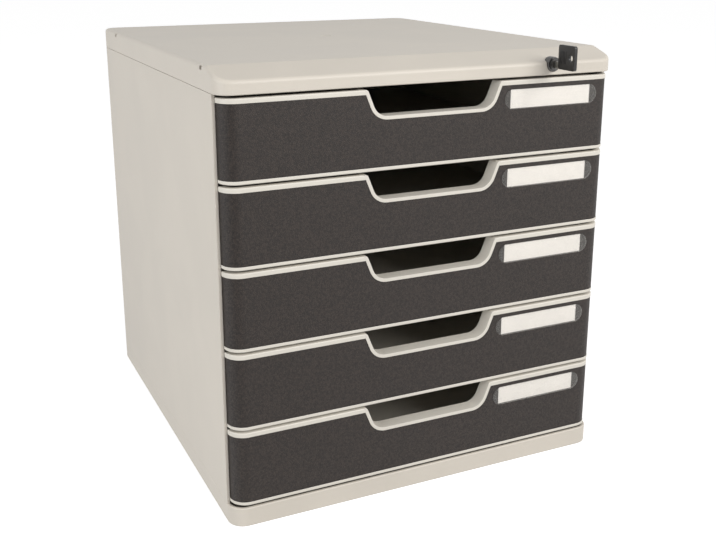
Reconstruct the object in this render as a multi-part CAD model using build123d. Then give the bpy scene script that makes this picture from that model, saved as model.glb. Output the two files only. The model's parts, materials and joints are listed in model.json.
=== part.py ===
"""Five-drawer desktop cabinet with a key lock that holds every drawer.

Frame: +X to the right, +Y to the back, +Z up.  The origin is on the surface that the
cabinet stands on, under the middle of its case.  All sizes are in millimetres.
"""
import math
import os

from build123d import *

# ---------------------------------------------------------------- driving dimensions
# Case
case_width = 306.0
case_depth = 345.0
corner_radius = 12.0
case_wall = 2.2
base_top = 14.2
cover_height = 16.9
cover_slope_run = 24.0
cover_slope_drop = 7.7
cover_edge_round = 3.0
cover_slope_round = 1.2
seam_round = 0.8
tongue_height = 5.0
tongue_thickness = 1.4
tongue_end_margin = 15.0
base_relief = 0.6
base_relief_front = 45.5
base_relief_rear = 42.5
vent_length = 5.0
vent_height = 2.6
vent_drop = 1.2
vent_front_offset = 34.0
vent_rear_offset = 55.0
gate_mark_diameter = 9.0
gate_mark_depth = 0.3
gate_mark_back = 12.0

# Feet
foot_diameter = 18.0
foot_thickness = 1.0
foot_inset = 24.0

# Drawer fronts
drawer_count = 5
front_gap = 1.9
bottom_rim = 2.5
fascia_height = 49.7
top_rim = 3.3
front_inset = 2.0
front_to_case_gap = 0.5
fascia_thickness = 2.0
rim_proud = 0.3
front_wall = 2.4

# Finger scoop in each drawer front
scoop_center_x = 2.0
scoop_half_width = 53.0
scoop_depth = 17.4
scoop_lean = 22.0
scoop_round = 13.5
scoop_lip = 2.4
scoop_reach = 11.0
scoop_mouth_round = 2.0

# Label holder in each drawer front
label_center_x = 97.5
label_drop = 10.2
window_length = 80.0
window_height = 14.6
window_proud = 0.4
window_recess = 1.3
card_length = 68.5
card_height = 13.4
card_thickness = 0.3
card_clearance = 0.1

# Drawer trays and runners
tray_wall = 2.0
tray_floor = 2.0
tray_floor_lift = 3.0
tray_side_height = 43.0
tray_corner_round = 8.0
tray_rear_gap = 18.0
runner_space = 6.4
flange_width = 3.6
flange_thickness = 2.4
flange_lift = 36.0
rib_side_clearance = 0.6
rib_thickness = 2.4
rib_below_gap = 0.3
rib_above_gap = 0.6
drawer_travel = 250.0
stop_length = 4.0
stop_drop = 6.0
stop_clearance = 0.5
stop_nub_length = 6.0
stop_nub_height = 4.7
stop_nub_width = 3.8

# Lock
lock_x = 97.5
lock_z_from_top = 9.1
barrel_head_diameter = 10.6
barrel_head_proud = 1.2
barrel_head_length = 5.7
barrel_body_diameter = 8.0
barrel_length = 22.7
barrel_seat_clearance = 0.1
boss_width = 18.0
boss_depth = 19.0
nut_thickness = 2.5
nut_across_flats = 10.0
nut_sides = 6
plug_diameter = 6.4
plug_running_clearance = 0.05
plug_head_diameter = 8.0
plug_head_thickness = 0.6
plug_head_gap = 0.3
plug_end_play = 0.6
keyway_clearance = 0.3
keyway_bottom = 4.0
cam_thickness = 1.4
cam_throw = 4.5
cam_pin_angle = 45.0
cam_hub_radius = 3.6
cam_end_radius = 2.2
cam_pin_diameter = 2.4
cam_pin_clearance = 0.3
screw_shank_diameter = 2.5
screw_shank_length = 3.0
screw_head_diameter = 4.2
screw_head_height = 1.4
screw_hole_clearance = 0.05
screw_drive_width = 0.8
screw_drive_depth = 0.6

# Key
key_thickness = 1.6
key_blade_height = 4.8
key_bow_length = 18.6
key_bow_height = 17.3
key_bow_below = 2.6
key_bow_thickness = 2.4
key_bow_standoff = 5.0
key_bow_round = 1.8
key_tang_length = 9.0
key_hole_diameter = 4.8
key_hole_from_end = 4.6
key_cut_count = 4
key_first_cut = 1.5
key_cut_depth = 1.1
key_tip_clearance = 0.5

# Locking bar
bar_thickness = 1.6
bar_width = 10.0
bar_side_gap = 0.4
bar_front_gap = 2.5
bar_to_rib_gap = 2.0
bar_foot_lift = 6.0
arm_thickness = 1.5
arm_height = 5.4
arm_gap = 0.4
tab_length = 4.0
tab_height = 5.0
tab_reach = 2.6
lug_lift = 14.0
lug_height = 5.0
lug_length = 4.0
lug_reach = 3.0
lug_side_gap = 0.6
tab_over_lug_gap = 0.9
stud_shank_diameter = 3.0
stud_head_diameter = 6.4
stud_head_thickness = 1.2
stud_slot_clearance = 0.35
stud_head_gap = 0.4
stud_lift = 7.0
drawers_per_stud = 2

# Modelling allowances: how far a cutting tool runs past the face that it opens, and how
# near a level an edge has to lie to count as being at it.
overshoot = 1.0
closeness = 0.01

# ---------------------------------------------------------------- places worked out
front_y = -case_depth / 2
rear_y = case_depth / 2
case_half = case_width / 2
case_inner_half = case_half - case_wall
case_front_y = front_y + corner_radius

front_height = bottom_rim + fascia_height + top_rim
drawer_pitch = front_height + front_gap
cover_bottom = base_top + drawer_count * drawer_pitch + front_gap
case_height = cover_bottom + cover_height
cover_ceiling = case_height - case_wall

front_half = case_half - front_inset
fascia_y = front_y + rim_proud
core_depth = rim_proud + fascia_thickness
shield_depth = core_depth + front_wall
shield_rear_y = case_front_y - front_to_case_gap

tray_half = case_inner_half - runner_space
tray_rear_y = rear_y - case_wall - tray_rear_gap
flange_half = tray_half + flange_width

bar_outer_x = case_inner_half - bar_side_gap
bar_inner_x = bar_outer_x - bar_thickness
bar_front_y = case_front_y + bar_front_gap
bar_rear_y = bar_front_y + bar_width
rib_front_y = bar_rear_y + bar_to_rib_gap
rib_rear_y = rear_y - corner_radius
stop_rear_y = rib_front_y + stop_length

lock_z = case_height - lock_z_from_top
barrel_front_y = front_y - barrel_head_proud
barrel_seat_y = barrel_front_y + barrel_head_length
barrel_rear_y = barrel_front_y + barrel_length
boss_rear_y = front_y + boss_depth
plug_front_y = barrel_front_y - plug_head_gap - plug_head_thickness
cam_front_y = barrel_rear_y + plug_end_play
cam_rear_y = cam_front_y + cam_thickness
screw_head_rear_y = cam_rear_y + screw_head_height
arm_front_y = screw_head_rear_y + arm_gap
arm_rear_y = arm_front_y + arm_thickness
keyway_end_y = cam_front_y - keyway_bottom
key_tip_y = keyway_end_y - key_tip_clearance
key_bow_rear_y = plug_front_y - key_bow_standoff
key_bow_front_y = key_bow_rear_y - key_bow_length

# The cam pin stands this angle above the lock's axis when unlocked, and below it when locked.
cam_pin_rise = cam_throw * math.sin(math.radians(cam_pin_angle))
cam_pin_side = cam_throw * math.cos(math.radians(cam_pin_angle))
bar_travel = 2 * cam_pin_rise

part_folder = "parts"


# ---------------------------------------------------------------- small helpers
def block(x_low, x_high, y_low, y_high, z_low, z_high):
    """A box between two corners."""
    size = (x_high - x_low, y_high - y_low, z_high - z_low)
    middle = ((x_low + x_high) / 2, (y_low + y_high) / 2, (z_low + z_high) / 2)
    return Pos(*middle) * Box(*size)


def along_y(outline, y_low, y_high):
    """An outline drawn in X and Z, carried from y_low to y_high."""
    return Pos(0, y_high, 0) * Rot(90, 0, 0) * extrude(outline, amount=y_high - y_low)


def along_x(outline, x_low, x_high):
    """An outline drawn in Y and Z, carried from x_low to x_high."""
    return Pos(x_low, 0, 0) * extrude(Plane.YZ * outline, amount=x_high - x_low)


def rod_y(x, z, diameter, y_low, y_high):
    """A round rod along Y."""
    return along_y(Pos(x, z) * Circle(diameter / 2), y_low, y_high)


def rounded_plan(half_width, y_low, y_high, radius, z_low, z_high):
    """A block whose four upright edges are rounded."""
    outline = Pos(0, (y_low + y_high) / 2) * RectangleRounded(2 * half_width, y_high - y_low, radius)
    return Pos(0, 0, z_low) * extrude(outline, amount=z_high - z_low)


def both_sides(solid):
    """A right-hand feature with its left-hand mirror image."""
    return solid + mirror(solid, about=Plane.YZ)


def drawer_bottom(level):
    """Height of a drawer front's lower edge; level 0 is the lowest drawer."""
    return base_top + front_gap + level * drawer_pitch


def write(name, solid):
    """Write one node."""
    export_step(solid, os.path.join(part_folder, name + ".step"))


# ---------------------------------------------------------------- case
def case_block(inset, z_low, z_high):
    """The case's plan shape, drawn in by inset on every side."""
    return rounded_plan(case_half - inset, front_y + inset, rear_y - inset,
                        corner_radius - inset, z_low, z_high)


def slope_wedge(drop):
    """What the sloping front of the cover takes off a block whose top is drop lower."""
    top = case_height - drop
    rise = cover_slope_drop / cover_slope_run
    reach = corner_radius
    outline = Polygon(
        (front_y - reach, top - cover_slope_drop - rise * reach),
        (front_y + cover_slope_run + reach, top + rise * reach),
        (front_y - reach, top + rise * reach),
        align=None,
    )
    return along_x(outline, -case_width, case_width)


def edges_at_height(solid, z):
    """The edges that lie flat at one height."""
    return [edge for edge in solid.edges()
            if abs(edge.bounding_box().min.Z - z) < closeness
            and abs(edge.bounding_box().max.Z - z) < closeness]


def lies_inside_top(edge):
    """Whether an edge of the cover crosses its top from side to side."""
    box = edge.bounding_box()
    crosses = box.size.X > case_width / 2
    return crosses and front_y + closeness < edge.center().Y < rear_y - closeness


def make_cover():
    """The top cover: a shell with a sloping front and a boss for the lock."""
    outer = case_block(0, cover_bottom, case_height) - slope_wedge(0)
    crease = [edge for edge in outer.edges()
              if edge.length > case_width / 2 and edge.center().Z > case_height - closeness
              and edge.center().Y < 0]
    outer = fillet(crease, cover_slope_round)
    upper = [edge for edge in outer.edges()
             if edge.bounding_box().min.Z > case_height - cover_slope_drop - closeness
             and not lies_inside_top(edge)]
    outer = fillet(upper, cover_edge_round)
    outer = fillet(edges_at_height(outer, cover_bottom), seam_round)
    inner = case_block(case_wall, cover_bottom, cover_ceiling) - slope_wedge(case_wall)
    boss = block(lock_x - boss_width / 2, lock_x + boss_width / 2,
                 front_y + case_wall / 2, boss_rear_y, cover_bottom, case_height)
    shell = (outer - inner) + (boss & outer)
    shell -= rod_y(lock_x, lock_z, barrel_head_diameter + 2 * barrel_seat_clearance,
                   barrel_front_y - overshoot, barrel_seat_y)
    shell -= rod_y(lock_x, lock_z, barrel_body_diameter + 2 * barrel_seat_clearance,
                   barrel_seat_y, boss_rear_y + overshoot)
    vent_top = case_height - vent_drop
    for vent_y in (front_y + vent_front_offset, rear_y - vent_rear_offset):
        shell -= both_sides(block(case_half - case_wall, case_half + overshoot,
                                  vent_y - vent_length / 2, vent_y + vent_length / 2,
                                  vent_top - vent_height, vent_top))
    shell -= Pos(0, gate_mark_back, case_height - gate_mark_depth / 2) * Cylinder(
        gate_mark_diameter / 2, gate_mark_depth)
    return shell


def make_base():
    """The base tray: a floor and a low wall, with shallow seats for the feet."""
    base = case_block(0, 0, base_top)
    base = fillet(edges_at_height(base, 0) + edges_at_height(base, base_top), seam_round)
    base -= case_block(case_wall, case_wall, base_top)
    for x, y in foot_places():
        base -= Pos(x, y, foot_thickness / 2) * Cylinder(foot_diameter / 2, foot_thickness)
    relief = block(case_half - case_wall / 2, case_half + overshoot,
                   front_y + base_relief_front, rear_y - base_relief_rear, 0, base_relief)
    return base - both_sides(relief)


def foot_places():
    """Where the four feet sit."""
    x = case_half - foot_inset
    y = case_depth / 2 - foot_inset
    return [(sx * x, sy * y) for sx in (-1, 1) for sy in (-1, 1)]


def make_feet():
    """Four round soft pads, pressed flush with the underside as under the cabinet's weight."""
    pads = [Pos(x, y, foot_thickness / 2) * Cylinder(foot_diameter / 2, foot_thickness)
            for x, y in foot_places()]
    return Compound(children=pads)


def runner_levels():
    """For each drawer, the underside of its flange."""
    return [drawer_bottom(level) + flange_lift for level in range(drawer_count)]


def make_right_panel():
    """The right side panel with its runner ribs, stops and tongues."""
    ring = case_block(0, base_top, cover_bottom) - case_block(case_wall, base_top, cover_bottom)
    panel = ring & block(case_half - corner_radius, case_half, case_front_y, rear_y,
                         base_top, cover_bottom)
    rib_inner_x = tray_half + rib_side_clearance
    for flange_bottom in runner_levels():
        lower_top = flange_bottom - rib_below_gap
        upper_bottom = flange_bottom + flange_thickness + rib_above_gap
        panel += block(rib_inner_x, case_inner_half, rib_front_y, rib_rear_y,
                       lower_top - rib_thickness, lower_top)
        panel += block(rib_inner_x, case_inner_half, rib_front_y, rib_rear_y,
                       upper_bottom, upper_bottom + rib_thickness)
        panel += block(rib_inner_x, case_inner_half, rib_front_y, stop_rear_y,
                       lower_top - rib_thickness - stop_drop, lower_top - rib_thickness)
    for edge_z in (base_top, cover_bottom):
        panel += block(case_inner_half - tongue_thickness, case_inner_half,
                       rib_front_y + tongue_end_margin, rib_rear_y,
                       edge_z - tongue_height, edge_z + tongue_height)
    return panel


def make_back_panel():
    """The flat back panel with a tongue into the cover and the base."""
    half = case_half - corner_radius
    panel = block(-half, half, rear_y - case_wall, rear_y, base_top, cover_bottom)
    tongue_y = rear_y - case_wall
    panel += block(-half + tongue_end_margin, half - tongue_end_margin,
                   tongue_y - tongue_thickness, tongue_y,
                   base_top - tongue_height, cover_bottom + tongue_height)
    return panel


# ---------------------------------------------------------------- drawers
def front_slice(inset, z_low, z_high):
    """The plan shape of a drawer front, drawn in by inset, cut off before the case."""
    deep = rounded_plan(front_half - inset, front_y + inset, rear_y, corner_radius - inset,
                        z_low, z_high)
    return deep & block(-case_half, case_half, front_y, shield_rear_y, z_low, z_high)


def scoop_side(z, z_floor, grow):
    """How far the scoop's leaning side is from its middle at height z."""
    lean = math.radians(scoop_lean)
    fascia_top_z = z_floor - scoop_lip + scoop_depth
    side_step = (scoop_lip - grow) / math.cos(lean)
    return scoop_half_width - (fascia_top_z - z) * math.tan(lean) - side_step


def scoop_outline(z_floor, z_top, grow):
    """The scoop's outline: sides that lean outwards and a round at each lower corner.

    z_floor is the opening's lowest point, and grow is how far the outline stands outside it.
    """
    low = z_floor - grow
    floor_half = scoop_side(low, z_floor, grow)
    top_half = scoop_side(z_top, z_floor, grow)
    outline = Polygon(
        (scoop_center_x - floor_half, low),
        (scoop_center_x + floor_half, low),
        (scoop_center_x + top_half, z_top),
        (scoop_center_x - top_half, z_top),
        align=None,
    )
    lower = outline.vertices().sort_by(Axis.Y)[:2]
    return fillet(lower, scoop_round - scoop_lip + grow)


def front_edges(slice_solid, z):
    """The edges at one height of a drawer front's slice, apart from the one at its back."""
    return [edge for edge in edges_at_height(slice_solid, z)
            if edge.bounding_box().min.Y < shield_rear_y - closeness]


def make_drawer(level):
    """One drawer: its tray, the dark fascia, the label card and its window."""
    bottom = drawer_bottom(level)
    fascia_bottom = bottom + bottom_rim
    fascia_top = fascia_bottom + fascia_height
    top = bottom + front_height
    scoop_floor = fascia_top - scoop_depth + scoop_lip

    # Front shield: a rim above and below, and a wall behind the fascia.
    hollow = front_slice(shield_depth, bottom, top)
    low_rim = front_slice(0, bottom, fascia_bottom)
    low_rim = fillet(front_edges(low_rim, bottom), seam_round)
    high_rim = front_slice(0, fascia_top, top)
    high_rim = fillet(front_edges(high_rim, top), seam_round)
    shield = low_rim + front_slice(core_depth, bottom + seam_round, top - seam_round) + high_rim
    shield -= hollow

    # Scoop with its lip.
    opening = along_y(scoop_outline(scoop_floor, top, 0),
                      front_y - overshoot, shield_rear_y + overshoot)
    lip_block = along_y(scoop_outline(scoop_floor, top, scoop_lip), front_y, front_y + scoop_reach)
    shield = shield + lip_block - opening
    mouth_x = scoop_side(top, scoop_floor, 0)
    mouth = [edge for edge in edges_at_height(shield, top)
             if abs(abs(edge.center().X - scoop_center_x) - mouth_x) < closeness]
    shield = fillet(mouth, scoop_mouth_round)

    # Open tray behind the front.
    floor_z = bottom + tray_floor_lift
    side_top = floor_z + tray_side_height
    tray_front_y = front_y + shield_depth
    body = block(-tray_half, tray_half, tray_front_y, tray_rear_y, floor_z, side_top)
    rear_edges = body.edges().filter_by(Axis.Z).sort_by(Axis.Y)[-2:]
    body = fillet(rear_edges, tray_corner_round)
    room = block(-tray_half + tray_wall, tray_half - tray_wall, tray_front_y,
                 tray_rear_y - tray_wall, floor_z + tray_floor, side_top)
    room_edges = room.edges().filter_by(Axis.Z).sort_by(Axis.Y)[-2:]
    room = fillet(room_edges, tray_corner_round - tray_wall)
    tray = (body - room) + shield

    # Flanges that ride on the case's ribs, with a nub that meets the rib's stop.
    flange_bottom = bottom + flange_lift
    flange_front_y = rib_front_y + bar_to_rib_gap
    tray += both_sides(block(tray_half - tray_wall / 2, flange_half, flange_front_y,
                             tray_rear_y - tray_corner_round,
                             flange_bottom, flange_bottom + flange_thickness))
    nub_front_y = stop_rear_y + drawer_travel + stop_clearance
    nub_top = flange_bottom - rib_below_gap - rib_thickness - rib_below_gap
    tray += both_sides(block(tray_half - tray_wall / 2, tray_half + stop_nub_width,
                             nub_front_y, nub_front_y + stop_nub_length,
                             nub_top - stop_nub_height, nub_top))

    # Lug that the locking bar's tab stands in front of.
    lug_front_y = bar_front_y + tab_length + lug_side_gap
    lug_bottom = bottom + lug_lift
    tray += block(tray_half - tray_wall / 2, tray_half + lug_reach,
                  lug_front_y, lug_front_y + lug_length, lug_bottom, lug_bottom + lug_height)

    # Fascia with its scoop and the seat for the label window.
    fascia = front_slice(rim_proud, fascia_bottom, fascia_top)
    fascia -= front_slice(core_depth, fascia_bottom, fascia_top)
    fascia -= along_y(scoop_outline(scoop_floor, top, scoop_lip), front_y, front_y + scoop_reach)
    label_z = fascia_top - label_drop
    stadium = Pos(label_center_x, label_z) * SlotOverall(window_length, window_height)
    seat_y = fascia_y + window_recess
    fascia -= along_y(stadium, fascia_y - overshoot, seat_y)

    card_outline = Pos(label_center_x, label_z) * Rectangle(card_length, card_height)
    card = along_y(card_outline, seat_y - card_thickness, seat_y)
    pocket_outline = Pos(label_center_x, label_z) * Rectangle(
        card_length + 2 * card_clearance, card_height + 2 * card_clearance)
    pocket = along_y(pocket_outline, seat_y - card_thickness - card_clearance, seat_y)
    window = along_y(stadium, fascia_y - window_proud, seat_y) - pocket
    return tray, fascia, card, window


# ---------------------------------------------------------------- lock
def make_barrel():
    """The lock's fixed barrel, seated on the step inside the cover's boss."""
    barrel = rod_y(lock_x, lock_z, barrel_head_diameter, barrel_front_y, barrel_seat_y)
    barrel += rod_y(lock_x, lock_z, barrel_body_diameter, barrel_seat_y, barrel_rear_y)
    return barrel - rod_y(lock_x, lock_z, plug_diameter + 2 * plug_running_clearance,
                          barrel_front_y, barrel_rear_y)


def make_nut():
    """The nut that clamps the barrel against the boss."""
    corner_reach = nut_across_flats / 2 / math.cos(math.pi / nut_sides)
    outline = Pos(lock_x, lock_z) * (RegularPolygon(corner_reach, nut_sides)
                                     - Circle(barrel_body_diameter / 2))
    return along_y(outline, boss_rear_y, boss_rear_y + nut_thickness)


def make_plug():
    """The turning plug with its keyway and a hole for the cam's screw."""
    plug = rod_y(lock_x, lock_z, plug_diameter, plug_front_y, cam_front_y)
    plug += rod_y(lock_x, lock_z, plug_head_diameter, plug_front_y,
                  plug_front_y + plug_head_thickness)
    keyway = Pos(lock_x, lock_z) * Rectangle(key_thickness + 2 * keyway_clearance,
                                             key_blade_height + 2 * keyway_clearance)
    plug -= along_y(keyway, plug_front_y, keyway_end_y)
    return plug - rod_y(lock_x, lock_z, screw_shank_diameter + 2 * screw_hole_clearance,
                        cam_front_y - screw_shank_length + cam_thickness, cam_front_y)


def make_cam():
    """The cam on the plug's rear end, with the pin that carries the locking bar."""
    pin_x = lock_x + cam_pin_side
    pin_z = lock_z + cam_pin_rise
    hub = Pos(lock_x, lock_z) * Circle(cam_hub_radius)
    end = Pos(pin_x, pin_z) * Circle(cam_end_radius)
    outline = make_hull((hub + end).edges())
    cam = along_y(outline, cam_front_y, cam_rear_y)
    cam -= rod_y(lock_x, lock_z, screw_shank_diameter + 2 * screw_hole_clearance,
                 cam_front_y, cam_rear_y)
    return cam + rod_y(pin_x, pin_z, cam_pin_diameter, cam_rear_y, arm_rear_y + cam_pin_clearance)


def make_cam_screw():
    """The screw that holds the cam on the plug."""
    screw = rod_y(lock_x, lock_z, screw_shank_diameter, cam_rear_y - screw_shank_length, cam_rear_y)
    screw += rod_y(lock_x, lock_z, screw_head_diameter, cam_rear_y, screw_head_rear_y)
    drive = Pos(lock_x, lock_z) * Rectangle(screw_head_diameter, screw_drive_width)
    return screw - along_y(drive, screw_head_rear_y - screw_drive_depth, screw_head_rear_y)


def make_key():
    """The key: a flat steel blade in a plastic bow, standing upright in the plug."""
    half_thick = key_thickness / 2
    half_high = key_blade_height / 2
    blade = block(lock_x - half_thick, lock_x + half_thick, key_bow_rear_y - key_tang_length,
                  key_tip_y, lock_z - half_high, lock_z + half_high)
    cut_room = key_tip_y - plug_front_y
    cut_width = cut_room / (2 * key_cut_count + 1)
    for cut in range(key_cut_count):
        cut_y = plug_front_y + cut_width * (2 * cut + key_first_cut)
        notch = Polygon((cut_y - cut_width / 2, lock_z + half_high),
                        (cut_y, lock_z + half_high - key_cut_depth),
                        (cut_y + cut_width / 2, lock_z + half_high), align=None)
        blade -= along_x(notch, lock_x - key_thickness, lock_x + key_thickness)
    bow_low = lock_z - key_bow_below
    bow_middle_y = (key_bow_front_y + key_bow_rear_y) / 2
    bow_outline = Pos(bow_middle_y, bow_low + key_bow_height / 2) * RectangleRounded(
        key_bow_length, key_bow_height, key_bow_round)
    bow = along_x(bow_outline, lock_x - key_bow_thickness / 2, lock_x + key_bow_thickness / 2)
    ring_hole = Pos(key_bow_front_y + key_hole_from_end, bow_low + key_bow_height / 2) * Circle(
        key_hole_diameter / 2)
    bow -= along_x(ring_hole, lock_x - key_bow_thickness, lock_x + key_bow_thickness)
    return blade, bow - blade


def stud_levels():
    """The drawers beside which the locking bar is guided by a stud."""
    return range(0, drawer_count, drawers_per_stud)


def make_locking_bar():
    """The locking bar: an upright strip with a tab per drawer and an arm to the cam."""
    arm_middle_z = lock_z + cam_pin_rise
    arm_low = arm_middle_z - arm_height / 2
    arm_high = arm_middle_z + arm_height / 2
    bar = block(bar_inner_x, bar_outer_x, bar_front_y, bar_rear_y,
                drawer_bottom(0) + bar_foot_lift - bar_travel / 2, arm_middle_z)
    bar += block(bar_inner_x, bar_outer_x, bar_rear_y - bar_thickness, arm_rear_y, arm_low, arm_high)
    slot_low_x = lock_x + cam_pin_side - cam_pin_diameter / 2 - cam_pin_clearance
    slot_high_x = lock_x + cam_throw + cam_pin_diameter / 2 + cam_pin_clearance
    web = (arm_height - cam_pin_diameter) / 2 - cam_pin_clearance
    bar += block(slot_low_x - web, bar_outer_x, arm_front_y, arm_rear_y, arm_low, arm_high)
    bar -= block(slot_low_x, slot_high_x, arm_front_y, arm_rear_y, arm_low + web, arm_high - web)
    for level in range(drawer_count):
        tab_low = drawer_bottom(level) + lug_lift + lug_height + tab_over_lug_gap
        bar += block(bar_inner_x - tab_reach, bar_inner_x, bar_front_y, bar_front_y + tab_length,
                     tab_low, tab_low + tab_height)
    slot_half = stud_shank_diameter / 2 + stud_slot_clearance
    bar_middle_y = (bar_front_y + bar_rear_y) / 2
    for level in stud_levels():
        stud_z = drawer_bottom(level) + stud_lift
        slot = Pos(bar_middle_y, stud_z + bar_travel / 2) * Rot(0, 0, 90) * SlotOverall(
            2 * slot_half + bar_travel, 2 * slot_half)
        bar -= along_x(slot, bar_inner_x, bar_outer_x)
    return bar


def make_bar_studs():
    """Headed studs on the right panel that guide the locking bar."""
    bar_middle_y = (bar_front_y + bar_rear_y) / 2
    head_outer_x = bar_inner_x - stud_head_gap
    studs = []
    for level in stud_levels():
        place = Pos(bar_middle_y, drawer_bottom(level) + stud_lift)
        shank = along_x(place * Circle(stud_shank_diameter / 2), head_outer_x, case_inner_half)
        head = along_x(place * Circle(stud_head_diameter / 2),
                       head_outer_x - stud_head_thickness, head_outer_x)
        studs.append(shank + head)
    return Compound(children=studs)


# ---------------------------------------------------------------- write every node
os.makedirs(part_folder, exist_ok=True)

write("top_cover", make_cover())
write("base_tray", make_base())
write("foot_pads", make_feet())
right_panel = make_right_panel()
write("right_side_panel", right_panel)
write("left_side_panel", mirror(right_panel, about=Plane.YZ))
write("back_panel", make_back_panel())

for number in range(1, drawer_count + 1):
    # Drawers are counted from the top, as a person would.
    tray, fascia, card, window = make_drawer(drawer_count - number)
    write(f"drawer_{number}_tray", tray)
    write(f"drawer_{number}_fascia", fascia)
    write(f"drawer_{number}_label_card", card)
    write(f"drawer_{number}_label_window", window)

write("lock_barrel", make_barrel())
write("lock_nut", make_nut())
write("lock_plug", make_plug())
write("lock_cam", make_cam())
write("cam_screw", make_cam_screw())
key_blade, key_bow = make_key()
write("key_blade", key_blade)
write("key_bow", key_bow)
write("locking_bar", make_locking_bar())
write("bar_studs", make_bar_studs())

print(f"case {case_width:.1f} x {case_depth:.1f} x {case_height:.1f}, drawer pitch {drawer_pitch:.2f}")
print(f"locking bar travel {bar_travel:.3f}, key blade in the plug {key_tip_y - plug_front_y:.1f}")
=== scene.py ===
"""Looks, studio and camera for a five-drawer desktop cabinet with a key lock.

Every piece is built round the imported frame, in metres: +X to the right, +Y to the back, +Z up.
"""
import json
import logging
import math
from dataclasses import dataclass
from enum import Enum
from typing import Union

import bmesh
import bpy
from mathutils import Matrix, Vector

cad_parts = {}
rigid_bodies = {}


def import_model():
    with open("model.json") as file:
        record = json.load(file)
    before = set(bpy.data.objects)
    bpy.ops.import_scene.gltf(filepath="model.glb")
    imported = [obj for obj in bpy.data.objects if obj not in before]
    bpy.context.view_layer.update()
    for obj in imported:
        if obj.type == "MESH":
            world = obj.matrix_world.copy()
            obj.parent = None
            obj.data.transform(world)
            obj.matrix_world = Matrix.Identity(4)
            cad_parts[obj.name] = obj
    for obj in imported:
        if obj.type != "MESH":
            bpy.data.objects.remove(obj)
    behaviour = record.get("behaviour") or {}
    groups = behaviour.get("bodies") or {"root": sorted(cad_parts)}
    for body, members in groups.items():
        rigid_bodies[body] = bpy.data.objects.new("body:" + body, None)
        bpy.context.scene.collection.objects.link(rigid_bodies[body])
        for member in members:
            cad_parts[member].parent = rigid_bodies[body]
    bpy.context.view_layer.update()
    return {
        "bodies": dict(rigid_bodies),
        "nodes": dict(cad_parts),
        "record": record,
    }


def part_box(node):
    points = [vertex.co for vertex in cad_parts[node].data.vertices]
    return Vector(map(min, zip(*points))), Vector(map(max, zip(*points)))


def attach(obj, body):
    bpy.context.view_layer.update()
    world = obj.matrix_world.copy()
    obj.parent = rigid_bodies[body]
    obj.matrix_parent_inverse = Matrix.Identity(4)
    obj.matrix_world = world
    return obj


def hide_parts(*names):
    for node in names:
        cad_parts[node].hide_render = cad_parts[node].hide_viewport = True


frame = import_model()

MM = 0.001
SHARP_ANGLE = 40.0       # degrees from which an edge is rounded
CRISP_ANGLE = 35.0       # degrees from which shading stays crisp
DRAWER_COUNT = sum(1 for body in frame["bodies"] if body.startswith("drawer_"))

log = logging.getLogger("cabinet")

Colour = tuple[float, float, float, float]
Settings = dict[str, object]


def shown(red: int, green: int, blue: int) -> Colour:
    """Turn a colour as a screen shows it into the linear colour that a shader takes.

    Args:
        red: Red from 0 to 255.
        green: Green from 0 to 255.
        blue: Blue from 0 to 255.

    Returns:
        The linear colour with full opacity.
    """
    levels = [step / 255 for step in (red, green, blue)]
    linear = [s / 12.92 if s <= 0.04045 else ((s + 0.055) / 1.055) ** 2.4 for s in levels]
    return (linear[0], linear[1], linear[2], 1.0)


# ------------------------------------------------------------------ shader writing
class Value:
    """A number that varies over a surface. Arithmetic on it adds Math nodes."""

    def __init__(self, sheet: "NodeSheet", socket: bpy.types.NodeSocket) -> None:
        """Wrap one output socket of a sheet."""
        self.sheet = sheet
        self.socket = socket

    def _math(self, operation: str, *terms: "Term") -> "Value":
        """Add one Math node over the given terms."""
        return self.sheet.value("ShaderNodeMath", {"operation": operation}, dict(enumerate(terms)))

    def __add__(self, other: "Term") -> "Value":
        """Return self + other."""
        return self._math("ADD", self, other)

    def __radd__(self, other: "Term") -> "Value":
        """Return other + self."""
        return self._math("ADD", other, self)

    def __sub__(self, other: "Term") -> "Value":
        """Return self - other."""
        return self._math("SUBTRACT", self, other)

    def __rsub__(self, other: "Term") -> "Value":
        """Return other - self."""
        return self._math("SUBTRACT", other, self)

    def __mul__(self, other: "Term") -> "Value":
        """Return self * other."""
        return self._math("MULTIPLY", self, other)

    def __rmul__(self, other: "Term") -> "Value":
        """Return other * self."""
        return self._math("MULTIPLY", other, self)

    def __pow__(self, exponent: "Term") -> "Value":
        """Return self to the power of exponent."""
        return self._math("POWER", self, exponent)

    def wave(self) -> "Value":
        """Return the sine of self."""
        return self._math("SINE", self)

    def held(self) -> "Value":
        """Return self kept between 0 and 1."""
        return self._math("MAXIMUM", 0.0, self._math("MINIMUM", self, 1.0))

    def eased(self, low: float, high: float) -> "Value":
        """Turn self into a soft step.

        Args:
            low: The level at and below which the step is 0.
            high: The level at and above which it is 1.

        Returns:
            The step, with a smooth rise between the two levels.
        """
        places = {"Value": self, "From Min": low, "From Max": high, "To Min": 0.0, "To Max": 1.0}
        return self.sheet.value("ShaderNodeMapRange", {"interpolation_type": "SMOOTHSTEP"}, places)


Term = Union[Value, float]
Feed = Union[Value, bpy.types.NodeSocket, bpy.types.ID, float, tuple]


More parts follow.
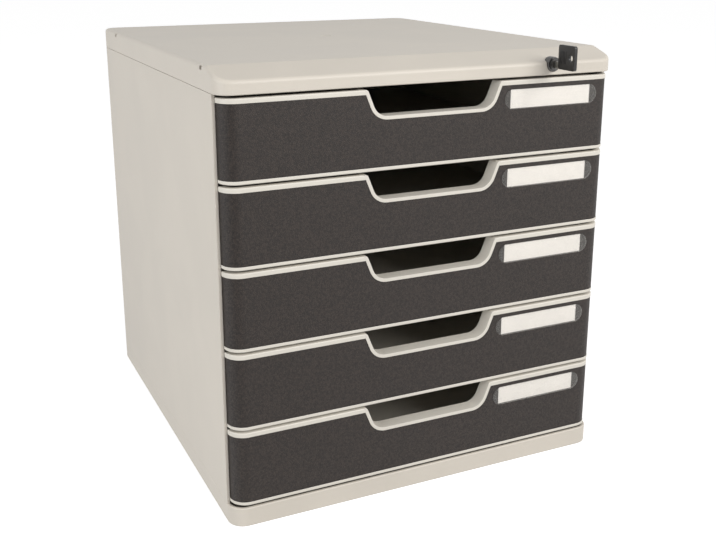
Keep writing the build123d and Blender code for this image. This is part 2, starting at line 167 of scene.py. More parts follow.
class NodeSheet:
    """The node tree of one material, of the world or of a repeated shape."""

    def __init__(self, tree: bpy.types.NodeTree) -> None:
        """Start with an empty tree."""
        self.tree = tree
        tree.nodes.clear()

    def node(self, kind: str, settings: Settings, feeds: dict[Union[int, str], Feed]) -> bpy.types.Node:
        """Add a node, set its options and then feed its sockets.

        Args:
            kind: Blender's name for the node type.
            settings: Options of the node itself, set before anything is fed.
            feeds: A number, a colour or a link for each socket, by place, identifier or name.

        Returns:
            The new node.
        """
        made = self.tree.nodes.new(kind)
        for option, choice in settings.items():
            setattr(made, option, choice)
        for key, feed in feeds.items():
            target = made.inputs[key] if isinstance(key, int) else self._named(made.inputs, key)
            if isinstance(feed, Value):
                feed = feed.socket
            if isinstance(feed, bpy.types.NodeSocket):
                self.tree.links.new(feed, target)
            else:
                target.default_value = feed
        return made

    @staticmethod
    def _named(sockets: bpy.types.NodeInputs, key: str) -> bpy.types.NodeSocket:
        """Find a socket by identifier, or else by name.

        Args:
            sockets: The sockets of one side of a node.
            key: The identifier or the name.

        Returns:
            The socket.
        """
        for socket in sockets:
            if socket.identifier == key:
                return socket
        return sockets[key]

    def value(self, kind: str, settings: Settings, feeds: dict[Union[int, str], Feed],
              output: Union[int, str] = 0) -> Value:
        """Add a node and return one of its outputs as a number to reckon with.

        Args:
            kind: Blender's name for the node type.
            settings: Options of the node itself.
            feeds: A number or a link for each socket.
            output: The output's place or name.

        Returns:
            The output, wrapped.
        """
        return Value(self, self.node(kind, settings, feeds).outputs[output])

    def place(self) -> bpy.types.NodeSocket:
        """Return the piece's own coordinates, in metres."""
        return self.node("ShaderNodeTexCoord", {}, {}).outputs["Object"]

    def stretched(self, place: Feed, scale: tuple[float, float, float],
                  centre: tuple[float, float, float] = (0.0, 0.0, 0.0)) -> bpy.types.NodeSocket:
        """Stretch a pattern's coordinates.

        Args:
            place: The coordinates to start from.
            scale: The factor along each axis.
            centre: The point that stays in place, in metres.

        Returns:
            The coordinates measured from the centre and scaled along each axis.
        """
        shift = tuple(-c * s for c, s in zip(centre, scale))
        return self.node("ShaderNodeMapping", {}, {"Vector": place, "Location": shift,
                                                   "Scale": scale}).outputs[0]

    def noise(self, place: Feed, size: float, detail: float = 2.0, distortion: float = 0.0) -> Value:
        """Lay soft noise over a surface.

        Args:
            place: The coordinates that it follows.
            size: The width of a blot, in metres.
            detail: How many finer layers it carries.
            distortion: How strongly it is pulled about.

        Returns:
            The noise, mostly between 0.3 and 0.7.
        """
        return self.value("ShaderNodeTexNoise", {}, {"Vector": place, "Scale": 1 / size,
                                                     "Detail": detail, "Distortion": distortion})

    def cells(self, place: Feed, size: float) -> Value:
        """Lay a pattern of cells over a surface.

        Args:
            place: The coordinates that it follows.
            size: The width of a cell, in metres.

        Returns:
            The distance from the cells' edges, as a share of a cell.
        """
        return self.value("ShaderNodeTexVoronoi", {"feature": "DISTANCE_TO_EDGE"},
                          {"Vector": place, "Scale": 1 / size}, "Distance")

    def blend(self, share: Feed, low: Feed, high: Feed) -> bpy.types.NodeSocket:
        """Mix two colours.

        Args:
            share: How much of the second colour shows, from 0 to 1.
            low: The colour at 0.
            high: The colour at 1.

        Returns:
            The mixed colour.
        """
        mixed = self.node("ShaderNodeMix", {"data_type": "RGBA"},
                          {"Factor_Float": share, "A_Color": low, "B_Color": high})
        return self._named(mixed.outputs, "Result_Color")

    def softened_normal(self, radius: float) -> bpy.types.NodeSocket:
        """Return a normal that turns over the piece's edges with this radius."""
        return self.node("ShaderNodeBevel", {"samples": 6}, {"Radius": radius}).outputs[0]

    def edge_share(self, softened: bpy.types.NodeSocket) -> Value:
        """Find where a piece's edges are.

        Args:
            softened: The normal from softened_normal.

        Returns:
            0 on flat faces, rising towards edges.
        """
        flat = self.node("ShaderNodeNewGeometry", {}, {}).outputs["Normal"]
        along = self.value("ShaderNodeVectorMath", {"operation": "DOT_PRODUCT"},
                           {0: softened, 1: flat}, "Value")
        return (1.0 - along).eased(0.0, 0.16)

    def bump(self, height: Value, depth: float, normal: Feed | None = None) -> bpy.types.NodeSocket:
        """Raise a relief on a surface.

        Args:
            height: The relief from 0 to 1.
            depth: How far a height of 1 stands out, in metres.
            normal: The normal to start from, or None for the face's own.

        Returns:
            The normal of the relief.
        """
        feeds: dict[Union[int, str], Feed] = {"Height": height, "Distance": depth, "Strength": 1.0}
        if normal is not None:
            feeds["Normal"] = normal
        return self.node("ShaderNodeBump", {}, feeds).outputs[0]

    def surface(self, feeds: dict[Union[int, str], Feed]) -> None:
        """Finish a material with one Principled surface."""
        shader = self.node("ShaderNodeBsdfPrincipled", {}, feeds)
        self.node("ShaderNodeOutputMaterial", {}, {"Surface": shader.outputs[0]})


def new_sheet(name: str) -> tuple[bpy.types.Material, NodeSheet]:
    """Make an empty node material.

    Args:
        name: The material's name.

    Returns:
        The material and its sheet.
    """
    material = bpy.data.materials.new(name)
    material.use_nodes = True
    return material, NodeSheet(material.node_tree)


# ------------------------------------------------------------------ finishes
@dataclass(frozen=True)
class MouldedPlastic:
    """Satin moulded plastic with a fine spark-eroded texture and edges paled partly for wear and partly
    as a painted highlight.
    """

    name: str
    colour: Colour
    wear_and_highlight_colour: Colour
    roughness: float = 0.46
    texture_size: float = 0.55 * MM
    texture_depth: float = 0.014 * MM
    edge_radius: float = 0.45 * MM
    cloud_size: float = 70 * MM
    streak_size: float = 9 * MM

    def material(self) -> bpy.types.Material:
        """Write the finish as nodes.

        Returns:
            The finished material.
        """
        material, sheet = new_sheet(self.name)
        place = sheet.place()
        texture = sheet.noise(place, self.texture_size, 3.0)
        cloud = sheet.noise(place, self.cloud_size, 3.0, 0.4)
        streaks = sheet.noise(sheet.stretched(place, (1.0, 1.0, 7.0)), self.streak_size, 4.0, 1.2)
        handled = streaks.eased(0.60, 0.72) * cloud.eased(0.42, 0.62)
        softened = sheet.softened_normal(self.edge_radius)
        edge = sheet.edge_share(softened)
        darker = tuple(0.955 * c for c in self.colour[:3]) + (1.0,)
        tone = sheet.blend(cloud.eased(0.3, 0.7), darker, self.colour)
        speck = texture.eased(0.58, 0.75) * 0.16
        tone = sheet.blend(speck, tone, tuple(0.86 * c for c in self.colour[:3]) + (1.0,))
        # Edges are paled: partly wear, partly a painted highlight along every edge.
        tone = sheet.blend(edge * 0.55, tone, self.wear_and_highlight_colour)
        sheet.surface({
            "Base Color": tone,
            "Roughness": self.roughness + 0.10 * (cloud - 0.5) + 0.07 * texture - 0.09 * handled
                         - 0.05 * edge,
            "Normal": sheet.bump(texture, self.texture_depth, softened),
            "IOR": 1.5,
        })
        return material


@dataclass(frozen=True)
class GrainedPlastic:
    """Near-black plastic with a pebbled, leather-like grain: painted shade in the valleys, a painted
    highlight on the pebble tops, and edges paled partly for wear and partly as a painted highlight.
    """

    name: str
    shaded_valley_colour: Colour
    lit_pebble_colour: Colour
    pebble_size: float = 1.05 * MM
    pebble_depth: float = 0.085 * MM
    edge_radius: float = 0.4 * MM
    pull_size: float = 2.2 * MM
    pull_reach: float = 1.1 * MM
    patch_size: float = 1.7 * MM
    cloud_size: float = 60 * MM

    def material(self) -> bpy.types.Material:
        """Write the finish as nodes.

        Returns:
            The finished material.
        """
        material, sheet = new_sheet(self.name)
        place = sheet.place()
        pull = sheet.node("ShaderNodeTexNoise", {}, {"Vector": place, "Scale": 1 / self.pull_size,
                                                     "Detail": 2.0}).outputs["Color"]
        bent = sheet.node("ShaderNodeVectorMath", {"operation": "MULTIPLY_ADD"},
                          {0: pull, 1: (self.pull_reach,) * 3, 2: place}).outputs[0]
        pebble = sheet.cells(bent, self.pebble_size).eased(0.02, 0.34)
        fine = sheet.noise(place, 0.5 * MM, 2.0)
        patch = sheet.noise(place, self.patch_size, 3.0, 0.6)
        cloud = sheet.noise(place, self.cloud_size, 2.0)
        softened = sheet.softened_normal(self.edge_radius)
        edge = sheet.edge_share(softened)
        # Pebble tops get a painted highlight and valleys get painted shade, mixed with random lighter
        # patches.
        lit = (pebble * 0.5 + patch.eased(0.4, 0.62) * 0.5) * (0.85 + 0.3 * cloud)
        tone = sheet.blend(lit.held(), self.shaded_valley_colour, self.lit_pebble_colour)
        # Edges are paled: partly wear, partly a painted highlight along every edge.
        edge_wear_and_highlight = tuple(1.9 * c for c in self.lit_pebble_colour[:3]) + (1.0,)
        sheet.surface({
            "Base Color": sheet.blend(edge * 0.4, tone, edge_wear_and_highlight),
            "Roughness": 0.46 + 0.16 * (1.0 - pebble) - 0.12 * (patch - 0.5) - 0.08 * edge,
            "Normal": sheet.bump(pebble * 0.8 + fine * 0.2, self.pebble_depth, softened),
            "IOR": 1.45,
        })
        return material


@dataclass(frozen=True)
class ClearPlastic:
    """Clear window plastic with a pale veil as a painted sheen, thicker towards grazing edges as a
    painted highlight, and fine wipe marks.
    """

    name: str
    sheen_tint: Colour
    sheen_veil: float = 0.10

    def material(self) -> bpy.types.Material:
        """Write the finish as nodes.

        Returns:
            The finished material.
        """
        material, sheet = new_sheet(self.name)
        place = sheet.place()
        wipes = sheet.noise(sheet.stretched(place, (1.0, 1.0, 9.0)), 6 * MM, 4.0, 0.8)
        facing = sheet.value("ShaderNodeLayerWeight", {}, {"Blend": 0.35}, "Facing")
        mark = wipes.eased(0.5, 0.75)
        sheet.surface({
            "Base Color": sheet.blend(mark, self.sheen_tint, (0.86, 0.86, 0.85, 1.0)),
            "Roughness": 0.07 + 0.08 * mark,
            # The pale veil is a painted sheen; towards grazing edges it thickens into a painted
            # highlight.
            "Alpha": (self.sheen_veil + 0.03 * mark + 0.7 * facing ** 2.0).held(),
            "Normal": sheet.bump(sheet.noise(place, 11 * MM, 1.0), 0.02 * MM),
            "IOR": 1.49,
        })
        return material


@dataclass(frozen=True)
class CardStock:
    """Plain off-white card with fibres."""

    name: str
    colour: Colour

    def material(self) -> bpy.types.Material:
        """Write the finish as nodes.

        Returns:
            The finished material.
        """
        material, sheet = new_sheet(self.name)
        place = sheet.place()
        fibres = sheet.noise(sheet.stretched(place, (0.35, 1.0, 1.0)), 0.5 * MM, 4.0, 1.5)
        cloud = sheet.noise(place, 14 * MM, 2.0)
        darker = tuple(0.93 * c for c in self.colour[:3]) + (1.0,)
        sheet.surface({
            "Base Color": sheet.blend((fibres * 0.6 + cloud * 0.4).eased(0.3, 0.6), darker, self.colour),
            "Roughness": 0.82 + 0.1 * fibres,
            "Normal": sheet.bump(fibres, 0.02 * MM),
            "IOR": 1.45,
        })
        return material


class Lay(Enum):
    """The direction in which a metal surface was worked."""

    TURNED = "turned about the lock's axis"
    BRUSHED = "brushed along Z"


@dataclass(frozen=True)
class WorkedMetal:
    """Plated metal with the fine lines of turning or brushing."""

    name: str
    colour: Colour
    lay: Lay
    centre: tuple[float, float, float] = (0.0, 0.0, 0.0)
    roughness: float = 0.24
    line_pitch: float = 0.16 * MM
    line_depth: float = 0.004 * MM
    edge_radius: float = 0.2 * MM

    def material(self) -> bpy.types.Material:
        """Write the finish as nodes.

        Returns:
            The finished material.
        """
        material, sheet = new_sheet(self.name)
        place = sheet.place()
        if self.lay is Lay.TURNED:
            across = sheet.stretched(place, (1.0, 0.0, 1.0), self.centre)
            radius = sheet.value("ShaderNodeVectorMath", {"operation": "LENGTH"}, {0: across}, "Value")
            lines = (radius * (math.tau / self.line_pitch)).wave() * 0.5 + 0.5
            lines = lines * 0.6 + sheet.noise(place, 0.3 * MM, 2.0) * 0.4
        else:
            lines = sheet.noise(sheet.stretched(place, (1.0, 1.0, 0.03)), self.line_pitch, 3.0)
        tarnish = sheet.noise(place, 3.5 * MM, 4.0, 0.8)
        softened = sheet.softened_normal(self.edge_radius)
        duller = tuple(0.72 * c for c in self.colour[:3]) + (1.0,)
        sheet.surface({
            "Base Color": sheet.blend(tarnish.eased(0.42, 0.68), self.colour, duller),
            "Metallic": 1.0,
            "Roughness": self.roughness + 0.14 * tarnish + 0.08 * lines,
            "Normal": sheet.bump(lines, self.line_depth, softened),
        })
        return material


@dataclass(frozen=True)
class SoftRubber:
    """Dark soft rubber with a matt, dusty skin."""

    name: str
    colour: Colour

    def material(self) -> bpy.types.Material:
        """Write the finish as nodes.

        Returns:
            The finished material.
        """
        material, sheet = new_sheet(self.name)
        place = sheet.place()
        skin = sheet.noise(place, 0.5 * MM, 4.0)
        dust = sheet.noise(place, 5 * MM, 3.0, 0.5).eased(0.45, 0.7)
        sheet.surface({
            "Base Color": sheet.blend(dust * 0.35, self.colour, shown(118, 112, 104)),
            "Roughness": 0.78 + 0.12 * skin,
            "Normal": sheet.bump(skin, 0.03 * MM, sheet.softened_normal(0.3 * MM)),
        })
        return material


@dataclass(frozen=True)
class StudioFloor:
    """White floor that keeps the cabinet's soft shadow and looks white wherever it is seen."""

    name: str
    glow: float = 0.87
    shadow_share: float = 0.40
    bounce: float = 0.42

    def material(self) -> bpy.types.Material:
        """Write the finish as nodes.

        Returns:
            The finished material.
        """
        material, sheet = new_sheet(self.name)
        plain = sheet.node("ShaderNodeBsdfDiffuse", {}, {"Color": (self.bounce,) * 3 + (1.0,)})
        catcher = sheet.node("ShaderNodeBsdfDiffuse", {}, {"Color": (self.shadow_share,) * 3 + (1.0,)})
        light = sheet.node("ShaderNodeEmission", {}, {"Color": (1.0,) * 4, "Strength": self.glow})
        bright = sheet.node("ShaderNodeAddShader", {}, {0: catcher.outputs[0], 1: light.outputs[0]})
        mixed = sheet.node("ShaderNodeMixShader", {}, {0: seen_directly(sheet), 1: plain.outputs[0],
                                                       2: bright.outputs[0]})
        sheet.node("ShaderNodeOutputMaterial", {}, {"Surface": mixed.outputs[0]})
        return material


def seen_directly(sheet: NodeSheet) -> Value:
    """Tell what is looked at from what only gets light.

    Args:
        sheet: The sheet that the nodes are written on.

    Returns:
        1 for what the camera, a gloss or clear plastic sees, and 0 for scattered light.
    """
    path = sheet.node("ShaderNodeLightPath", {}, {})
    camera, gloss, through = (Value(sheet, path.outputs[f"Is {kind} Ray"])
                              for kind in ("Camera", "Glossy", "Transmission"))
    return (camera + gloss + through).held()


# ------------------------------------------------------------------ mesh helpers
def piece_from(name: str, shape: bmesh.types.BMesh, finish: bpy.types.Material) -> bpy.types.Object:
    """Turn a bmesh into a linked object at the origin.

    Args:
        name: The piece's name.
        shape: The mesh, in metres, in the frame's place. It is freed.
        finish: The material of the whole piece.

    Returns:
        The new object.
    """
    bmesh.ops.recalc_face_normals(shape, faces=shape.faces)
    mesh = bpy.data.meshes.new(name)
    shape.to_mesh(mesh)
    shape.free()
    mesh.materials.append(finish)
    made = bpy.data.objects.new(name, mesh)
    bpy.context.scene.collection.objects.link(made)
    return made


def settle(piece: bpy.types.Object) -> None:
    """Apply a piece's modifiers and leave it a plain mesh.

    Args:
        piece: The object to settle.
    """
    graph = bpy.context.evaluated_depsgraph_get()
    plain = bpy.data.meshes.new_from_object(piece.evaluated_get(graph), depsgraph=graph)
    old = piece.data
    piece.modifiers.clear()
    piece.data = plain
    bpy.data.meshes.remove(old)
    plain.name = piece.name


def smooth_by_angle(piece: bpy.types.Object, degrees: float) -> None:
    """Shade a piece smooth, but leave sharp edges crisp.

    Args:
        piece: The object to shade.
        degrees: The angle from which an edge stays crisp.
    """
    mesh = piece.data
    mesh.shade_smooth()
    mesh.set_sharp_from_angle(angle=math.radians(degrees))


def round_edges(piece: bpy.types.Object, width: float, segments: int = 3) -> None:
    """Round every sharp edge of a piece.

    Args:
        piece: The object to round.
        width: The width of the rounding, in metres.
        segments: The number of faces across it.
    """
    bevel = piece.modifiers.new("rounded_edges", "BEVEL")
    bevel.width = width
    bevel.segments = segments
    bevel.limit_method = "ANGLE"
    bevel.angle_limit = math.radians(SHARP_ANGLE)
    settle(piece)
    smooth_by_angle(piece, CRISP_ANGLE)


def place_piece(piece: bpy.types.Object, body: str, slot: str, *nodes: str) -> None:
    """Make a piece ride on its body, hide the solids that it replaces, and report it.

    Args:
        piece: The finished object.
        body: The body that it moves with.
        slot: The record's material slot. Not used.
        nodes: The solids that it replaces, if any.
    """
    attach(piece, body)
    if nodes:
        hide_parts(*nodes)
    log.info("%s: %d faces on %s", piece.name, len(piece.data.polygons), body)


def dress(node: str, finish: bpy.types.Material) -> None:
    """Give a carried-over solid its material.

    Args:
        node: The solid's name.
        finish: The material.
    """
    solid = frame["nodes"][node]
    if not solid.material_slots:
        solid.data.materials.append(finish)
    for slot in solid.material_slots:
        slot.material = finish
    log.info("%s: dressed in %s", node, finish.name)


# ------------------------------------------------------------------ label window
@dataclass
class LabelWindow:
    """A clear stadium-shaped window over a drawer's card, hollowed at the back for the card."""

    drawer: int
    edge_round: float = 0.4 * MM
    seat_gap: float = 0.16 * MM
    round_steps: int = 4
    end_steps: int = 28
    card_room: float = 0.1 * MM

    def outline(self, inset: float, y: float) -> list[Vector]:
        """Draw the window's outline at one depth.

        Args:
            inset: How far the outline is drawn in, besides the seat's gap, in metres.
            y: The depth.

        Returns:
            The outline's points, in order.
        """
        low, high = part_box(f"drawer_{self.drawer}_label_window")
        radius = (high.z - low.z) / 2
        middle_z = (high.z + low.z) / 2
        points = []
        for end_x, start in ((high.x - radius, -math.pi / 2), (low.x + radius, math.pi / 2)):
            for step in range(self.end_steps + 1):
                angle = start + math.pi * step / self.end_steps
                reach = radius - inset - self.seat_gap
                points.append(Vector((end_x + reach * math.cos(angle), y,
                                      middle_z + reach * math.sin(angle))))
        return points

    def build(self, finish: bpy.types.Material) -> bpy.types.Object:
        """Build the window and its hollow for the card.

        Args:
            finish: The window's material.

        Returns:
            The new object.
        """
        low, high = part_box(f"drawer_{self.drawer}_label_window")
        card_low, card_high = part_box(f"drawer_{self.drawer}_label_card")
        shape = bmesh.new()
        rings = [[shape.verts.new(p) for p in self.outline(0.0, high.y)]]
        for step in range(self.round_steps + 1):
            turn = math.pi / 2 * step / self.round_steps
            inset = self.edge_round * (1 - math.cos(turn))
            y = low.y + self.edge_round * (1 - math.sin(turn))
            rings.append([shape.verts.new(p) for p in self.outline(inset, y)])
        for ring, following in zip(rings, rings[1:]):
            count = len(ring)
            for i in range(count):
                j = (i + 1) % count
                shape.faces.new((ring[i], ring[j], following[j], following[i]))
        shape.faces.new(rings[-1])
        room = self.card_room
        corners = [(card_low.x - room, card_low.z - room), (card_high.x + room, card_low.z - room),
                   (card_high.x + room, card_high.z + room), (card_low.x - room, card_high.z + room)]
        mouth = [shape.verts.new((x, high.y, z)) for x, z in corners]
        bottom = [shape.verts.new((x, card_low.y - room, z)) for x, z in corners]
        for i in range(4):
            j = (i + 1) % 4
            shape.faces.new((mouth[i], mouth[j], bottom[j], bottom[i]))
        shape.faces.new(bottom)
        rim = [edge for edge in shape.edges if len(edge.link_faces) == 1]
        bmesh.ops.triangle_fill(shape, use_beauty=True, edges=rim)
        window = piece_from(f"drawer_{self.drawer}_clear_window", shape, finish)
        smooth_by_angle(window, CRISP_ANGLE)
        place_piece(window, f"drawer_{self.drawer}", "label_window",
                    f"drawer_{self.drawer}_label_window")
        return window


# ------------------------------------------------------------------ lock and key
@dataclass
class LockFace:
    """The lock's turned barrel with a rounded rim and a shallow ring round the plug."""

    rim_round: float = 0.55 * MM
    ring_inner: float = 3.9 * MM
    ring_outer: float = 4.5 * MM
    ring_depth: float = 0.2 * MM
    head_depth: float = 5.7 * MM
    body_radius: float = 4.0 * MM
    bore_radius: float = 3.25 * MM
    rim_steps: int = 5
    turns: int = 96

    def profile(self) -> list[tuple[float, float]]:
        """Draw the barrel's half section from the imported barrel's sizes.

        Returns:
            The section's corners, each as a radius and a y.
        """
        low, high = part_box("lock_barrel")
        head = (high.x - low.x) / 2
        seat = low.y + self.head_depth
        ring = low.y + self.ring_depth
        turns = [math.pi / 2 * step / self.rim_steps for step in range(self.rim_steps + 1)]
        rim = [(head - self.rim_round * (1 - math.sin(turn)),
                low.y + self.rim_round * (1 - math.cos(turn))) for turn in turns]
        return [(self.bore_radius, low.y), (self.ring_inner, low.y), (self.ring_inner, ring),
                (self.ring_outer, ring), (self.ring_outer, low.y), *rim, (head, seat),
                (self.body_radius, seat), (self.body_radius, high.y), (self.bore_radius, high.y)]

    def build(self, finish: bpy.types.Material) -> bpy.types.Object:
        """Spin the profile round the lock's axis.

        Args:
            finish: The barrel's material.

        Returns:
            The new object.
        """
        low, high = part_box("lock_barrel")
        axis_x, axis_z = (low.x + high.x) / 2, (low.z + high.z) / 2
        section = self.profile()
        shape = bmesh.new()
        rings = []
        for turn in range(self.turns):
            angle = math.tau * turn / self.turns
            rings.append([shape.verts.new((axis_x + r * math.cos(angle), y, axis_z + r * math.sin(angle)))
                          for r, y in section])
        for turn in range(self.turns):
            here, there = rings[turn], rings[(turn + 1) % self.turns]
            for i in range(len(section)):
                j = (i + 1) % len(section)
                shape.faces.new((here[i], here[j], there[j], there[i]))
        barrel = piece_from("turned_lock_barrel", shape, finish)
        smooth_by_angle(barrel, CRISP_ANGLE)
        place_piece(barrel, "cabinet", "lock_chrome", "lock_barrel")
        return barrel


@dataclass
class KeyHead:
    """The key's plastic head: a rounded plate with a ring hole and grip ribs on both cheeks."""

    corner_radius: float = 1.8 * MM
    corner_steps: int = 8
    edge_round: float = 0.4 * MM
    hole_radius: float = 2.4 * MM
    hole_from_end: float = 4.6 * MM
    hole_steps: int = 40
    rib_count: int = 5
    rib_pitch: float = 1.5 * MM
    rib_length: float = 9.0 * MM
    rib_width: float = 0.7 * MM
    rib_height: float = 0.28 * MM
    rib_round: float = 0.12 * MM
    last_rib_from_shoulder: float = 2.4 * MM

    def plate(self, finish: bpy.types.Material) -> bpy.types.Object:
        """Build the rounded plate with its ring hole.

        Args:
            finish: The head's material.

        Returns:
            The new object.
        """
        low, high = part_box("key_bow")
        shape = bmesh.new()
        radius = self.corner_radius
        corners = ((high.y - radius, high.z - radius, 0.0), (low.y + radius, high.z - radius, 0.5),
                   (low.y + radius, low.z + radius, 1.0), (high.y - radius, low.z + radius, 1.5))
        outline = []
        for y, z, start in corners:
            for step in range(self.corner_steps + 1):
                angle = math.pi * (start + 0.5 * step / self.corner_steps)
                outline.append((y + radius * math.cos(angle), z + radius * math.sin(angle)))
        hole_y, hole_z = low.y + self.hole_from_end, (low.z + high.z) / 2
        hole = [(hole_y + self.hole_radius * math.cos(math.tau * s / self.hole_steps),
                 hole_z + self.hole_radius * math.sin(math.tau * s / self.hole_steps))
                for s in range(self.hole_steps)]
        for loop in (outline, hole):
            verts = [shape.verts.new((low.x, y, z)) for y, z in loop]
            for i, vert in enumerate(verts):
                shape.edges.new((vert, verts[(i + 1) % len(verts)]))
        bmesh.ops.triangle_fill(shape, use_beauty=True, use_dissolve=True, edges=shape.edges)
        pulled = bmesh.ops.extrude_face_region(shape, geom=shape.faces[:])
        moved = [item for item in pulled["geom"] if isinstance(item, bmesh.types.BMVert)]
        bmesh.ops.translate(shape, verts=moved, vec=(high.x - low.x, 0.0, 0.0))
        plate = piece_from("key_head", shape, finish)
        round_edges(plate, self.edge_round)
        place_piece(plate, "key", "key_plastic", "key_bow")
        return plate

    def ribs(self, finish: bpy.types.Material) -> bpy.types.Object:
        """Build the ribs on both cheeks with Geometry Nodes.

        Args:
            finish: The ribs' material.

        Returns:
            The new object.
        """
        low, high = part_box("key_bow")
        tree = rib_tree(finish)
        carrier = bpy.data.objects.new("key_grip_ribs", bpy.data.meshes.new("key_grip_ribs"))
        bpy.context.scene.collection.objects.link(carrier)
        modifier = carrier.modifiers.new("grip", "NODES")
        modifier.node_group = tree
        sizes = {"Count": self.rib_count, "Pitch": self.rib_pitch, "Length": self.rib_length,
                 "Width": self.rib_width, "Height": 2 * self.rib_height,
                 "Thickness": high.x - low.x}
        for item in tree.interface.items_tree:
            if item.item_type == "SOCKET" and item.in_out == "INPUT" and item.name in sizes:
                modifier[item.identifier] = sizes[item.name]
        settle(carrier)
        span = (self.rib_count - 1) * self.rib_pitch
        rear = high.y - self.last_rib_from_shoulder
        carrier.data.transform(Matrix.Translation(((low.x + high.x) / 2, rear - span,
                                                   (low.z + high.z) / 2)))
        round_edges(carrier, self.rib_round, 2)
        place_piece(carrier, "key", "key_plastic")
        return carrier


def rib_tree(finish: bpy.types.Material) -> bpy.types.NodeTree:
    """Write the Geometry Nodes tree that lays equal ribs on two cheeks of a plate.

    Args:
        finish: The material that the ribs take.

    Returns:
        The node tree, with one named input for each size.
    """
    tree = bpy.data.node_groups.new("grip_ribs", "GeometryNodeTree")
    inputs = (("Count", "NodeSocketInt"), ("Pitch", "NodeSocketFloat"), ("Length", "NodeSocketFloat"),
              ("Width", "NodeSocketFloat"), ("Height", "NodeSocketFloat"),
              ("Thickness", "NodeSocketFloat"))
    for name, kind in inputs:
        tree.interface.new_socket(name, in_out="INPUT", socket_type=kind)
    tree.interface.new_socket("Geometry", in_out="OUTPUT", socket_type="NodeSocketGeometry")
    sheet = NodeSheet(tree)
    given = sheet.node("NodeGroupInput", {}, {}).outputs
    step = sheet.node("ShaderNodeCombineXYZ", {}, {"Y": given["Pitch"]})
    row = sheet.node("GeometryNodeMeshLine", {}, {"Count": given["Count"], "Offset": step.outputs[0]})
    size = sheet.node("ShaderNodeCombineXYZ", {}, {"X": given["Height"], "Y": given["Width"],
                                                   "Z": given["Length"]})
    rib = sheet.node("GeometryNodeMeshCube", {}, {"Size": size.outputs[0]})
    half = Value(sheet, given["Thickness"]) * 0.5
    cheeks = []
    for side in (half, half * -1.0):
        place = sheet.node("ShaderNodeCombineXYZ", {}, {"X": side})
        moved = sheet.node("GeometryNodeSetPosition", {}, {"Geometry": row.outputs[0],
                                                           "Offset": place.outputs[0]})
        laid = sheet.node("GeometryNodeInstanceOnPoints", {}, {"Points": moved.outputs[0],
                                                               "Instance": rib.outputs[0]})
        cheeks.append(laid.outputs[0])
    joined = sheet.node("GeometryNodeJoinGeometry", {}, {0: cheeks[0]})
    tree.links.new(cheeks[1], joined.inputs[0])
    real = sheet.node("GeometryNodeRealizeInstances", {}, {"Geometry": joined.outputs[0]})
    painted = sheet.node("GeometryNodeSetMaterial", {}, {"Geometry": real.outputs[0],
                                                         "Material": finish})
    sheet.node("NodeGroupOutput", {}, {0: painted.outputs[0]})
    return tree


# ------------------------------------------------------------------ whole cabinet
class Cabinet:
    """Every finish of the cabinet and the pieces that are modelled finer than the solids."""

    def __init__(self) -> None:
        """Make the finishes."""
        low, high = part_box("lock_barrel")
        lock_axis = ((low.x + high.x) / 2, 0.0, (low.z + high.z) / 2)
        # The second colour of each moulding is its paled edge colour: partly wear, partly painted
        # highlight.
        case = MouldedPlastic("case_moulding", shown(211, 204, 193), shown(228, 223, 213))
        drawer = MouldedPlastic("drawer_moulding", shown(220, 215, 205), shown(236, 232, 224),
                                roughness=0.40, texture_depth=0.008 * MM)
        # The fascia's first colour is painted shade for the grain's valleys, and the second is a painted
        # highlight for the pebble tops.
        fascia = GrainedPlastic("fascia_grain", shown(22, 16, 13), shown(50, 41, 36))
        head = MouldedPlastic("key_head_moulding", shown(26, 25, 25), shown(70, 68, 67),
                              roughness=0.38, edge_radius=0.3 * MM)
        self.finishes: dict[str, bpy.types.Material] = {
            "case_plastic": case.material(),
            "drawer_plastic": drawer.material(),
            "fascia_plastic": fascia.material(),
            "label_card": CardStock("label_card_stock", shown(250, 246, 240)).material(),
            # The window's pale colour is a painted sheen.
            "label_window": ClearPlastic("clear_window_plastic", shown(236, 233, 228)).material(),
            "lock_chrome": WorkedMetal("lock_plating", shown(92, 91, 90), Lay.TURNED,
                                       lock_axis).material(),
            "plated_steel": WorkedMetal("zinc_plating", shown(186, 186, 180), Lay.BRUSHED,
                                        roughness=0.34).material(),
            "key_steel": WorkedMetal("key_plating", shown(200, 198, 190), Lay.BRUSHED,
                                     roughness=0.2).material(),
            "key_plastic": head.material(),
            "foot_rubber": SoftRubber("foot_rubber_skin", shown(46, 45, 44)).material(),
        }

    def dress_solids(self) -> None:
        """Give every carried-over solid the finish of its slot."""
        for part in frame["record"]["subparts"]:
            dress(part["node"], self.finishes[part["material_slot"]])

    def add_windows(self) -> None:
        """Build the clear window of each drawer."""
        for drawer in range(1, DRAWER_COUNT + 1):
            LabelWindow(drawer).build(self.finishes["label_window"])

    def add_lock(self) -> None:
        """Build the lock's barrel and the key's head."""
        LockFace().build(self.finishes["lock_chrome"])
        head = KeyHead()
        head.plate(self.finishes["key_plastic"])
        head.ribs(self.finishes["key_plastic"])


# ------------------------------------------------------------------ studio and camera
@dataclass(frozen=True)
class Softbox:
    """One large soft lamp that faces the cabinet."""

    name: str
    place: tuple[float, float, float]
    target: tuple[float, float, float]
    size: tuple[float, float]
    level: float
    colour: Colour = (1.0, 1.0, 1.0, 1.0)

    def build(self) -> None:
        """Hang the lamp. Its level is what a white card at the target, facing it, would show."""
        lamp = bpy.data.lights.new(self.name, "AREA")
        lamp.shape = "RECTANGLE"
        lamp.size, lamp.size_y = self.size
        lamp.color = self.colour[:3]
        reach = Vector(self.target) - Vector(self.place)
        lamp.energy = self.level * math.pi ** 2 * reach.length_squared
        hung = bpy.data.objects.new(self.name, lamp)
        hung.location = self.place
        hung.rotation_mode = "QUATERNION"
        hung.rotation_quaternion = reach.to_track_quat("-Z", "Y")
        bpy.context.scene.collection.objects.link(hung)


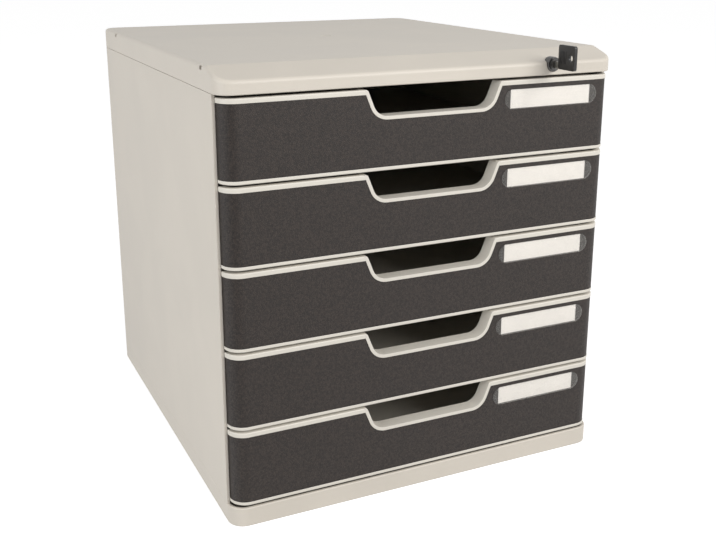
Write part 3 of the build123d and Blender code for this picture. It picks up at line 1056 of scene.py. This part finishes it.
@dataclass(frozen=True)
class DarkFlag:
    """A dark card left of the cabinet. It casts no shadow, and only gloss shows it."""

    name: str
    x: float
    y_range: tuple[float, float]
    z_range: tuple[float, float]
    colour: Colour = (0.02, 0.02, 0.02, 1.0)

    def build(self) -> None:
        """Stand the card up."""
        material, sheet = new_sheet(self.name)
        sheet.surface({"Base Color": self.colour, "Roughness": 1.0})
        (front, rear), (low, high) = self.y_range, self.z_range
        shape = bmesh.new()
        shape.faces.new([shape.verts.new((self.x, y, z)) for y, z in
                         ((front, low), (rear, low), (rear, high), (front, high))])
        card = piece_from(self.name, shape, material)
        card.visible_camera = False
        card.visible_diffuse = False
        card.visible_transmission = False
        card.visible_shadow = False


@dataclass(frozen=True)
class Studio:
    """A plain white room: an even sky, a floor and soft lamps."""

    sky_level: float = 0.30
    floor_half: float = 12.0
    lamps: tuple[Softbox, ...] = (
        Softbox("key_softbox", (0.9, -1.8, 1.28), (0.0, -0.1, 0.18), (1.4, 1.1), 0.80,
                (1.0, 0.985, 0.965, 1.0)),
        Softbox("left_softbox", (-1.8, -0.6, 0.5), (-0.15, 0.0, 0.16), (1.2, 1.0), 0.64),
    )
    flag: DarkFlag = DarkFlag("left_flag", -0.42, (-1.1, -0.2), (0.002, 0.6))

    def build(self) -> None:
        """Build the sky, the floor and the lamps."""
        world = bpy.data.worlds.new("white_room")
        world.use_nodes = True
        bpy.context.scene.world = world
        sheet = NodeSheet(world.node_tree)
        sky = sheet.node("ShaderNodeBackground", {}, {"Color": (1.0,) * 4, "Strength": self.sky_level})
        white = sheet.node("ShaderNodeBackground", {}, {"Color": (1.0,) * 4, "Strength": 1.0})
        mixed = sheet.node("ShaderNodeMixShader", {}, {0: seen_directly(sheet), 1: sky.outputs[0],
                                                       2: white.outputs[0]})
        sheet.node("ShaderNodeOutputWorld", {}, {"Surface": mixed.outputs[0]})
        shape = bmesh.new()
        half = self.floor_half
        shape.faces.new([shape.verts.new((x, y, 0.0)) for x, y in
                         ((-half, -half), (half, -half), (half, half), (-half, half))])
        floor = piece_from("studio_floor", shape, StudioFloor("studio_floor_white").material())
        for lamp in self.lamps:
            lamp.build()
        self.flag.build()


@dataclass(frozen=True)
class PhotoCamera:
    """The camera that took the photograph, as solved from the cabinet's own edges."""

    place: tuple[float, float, float] = (-0.33255, -0.76089, 0.39414)
    azimuth: float = -25.092
    elevation: float = 15.56
    focal_pixels: float = 992.92
    axis_pixel: tuple[float, float] = (358.0, 220.0)
    frame_pixels: tuple[int, int] = (716, 540)
    sensor_width: float = 36.0

    def build(self) -> None:
        """Set up the camera and make it the scene's own."""
        width, height = self.frame_pixels
        data = bpy.data.cameras.new("photo_camera")
        data.sensor_width = self.sensor_width
        data.lens = self.focal_pixels / width * self.sensor_width
        data.shift_x = (width / 2 - self.axis_pixel[0]) / width
        data.shift_y = (self.axis_pixel[1] - height / 2) / width
        data.clip_start, data.clip_end = 0.01, 100.0
        camera = bpy.data.objects.new("photo_camera", data)
        azimuth, elevation = math.radians(self.azimuth), math.radians(self.elevation)
        back = Vector((math.sin(azimuth) * math.cos(elevation),
                       -math.cos(azimuth) * math.cos(elevation), math.sin(elevation)))
        camera.location = self.place
        camera.rotation_mode = "QUATERNION"
        camera.rotation_quaternion = (-back).to_track_quat("-Z", "Y")
        bpy.context.scene.collection.objects.link(camera)
        bpy.context.scene.camera = camera


def main() -> None:
    """Build the camera, the studio and the dressed cabinet, in that order."""
    logging.basicConfig(level=logging.INFO, format="%(name)s: %(message)s")
    PhotoCamera().build()
    Studio().build()
    cabinet = Cabinet()
    cabinet.dress_solids()
    cabinet.add_windows()
    cabinet.add_lock()
    bpy.context.scene.view_settings.view_transform = "Standard"


if __name__ == "__main__":
    main()
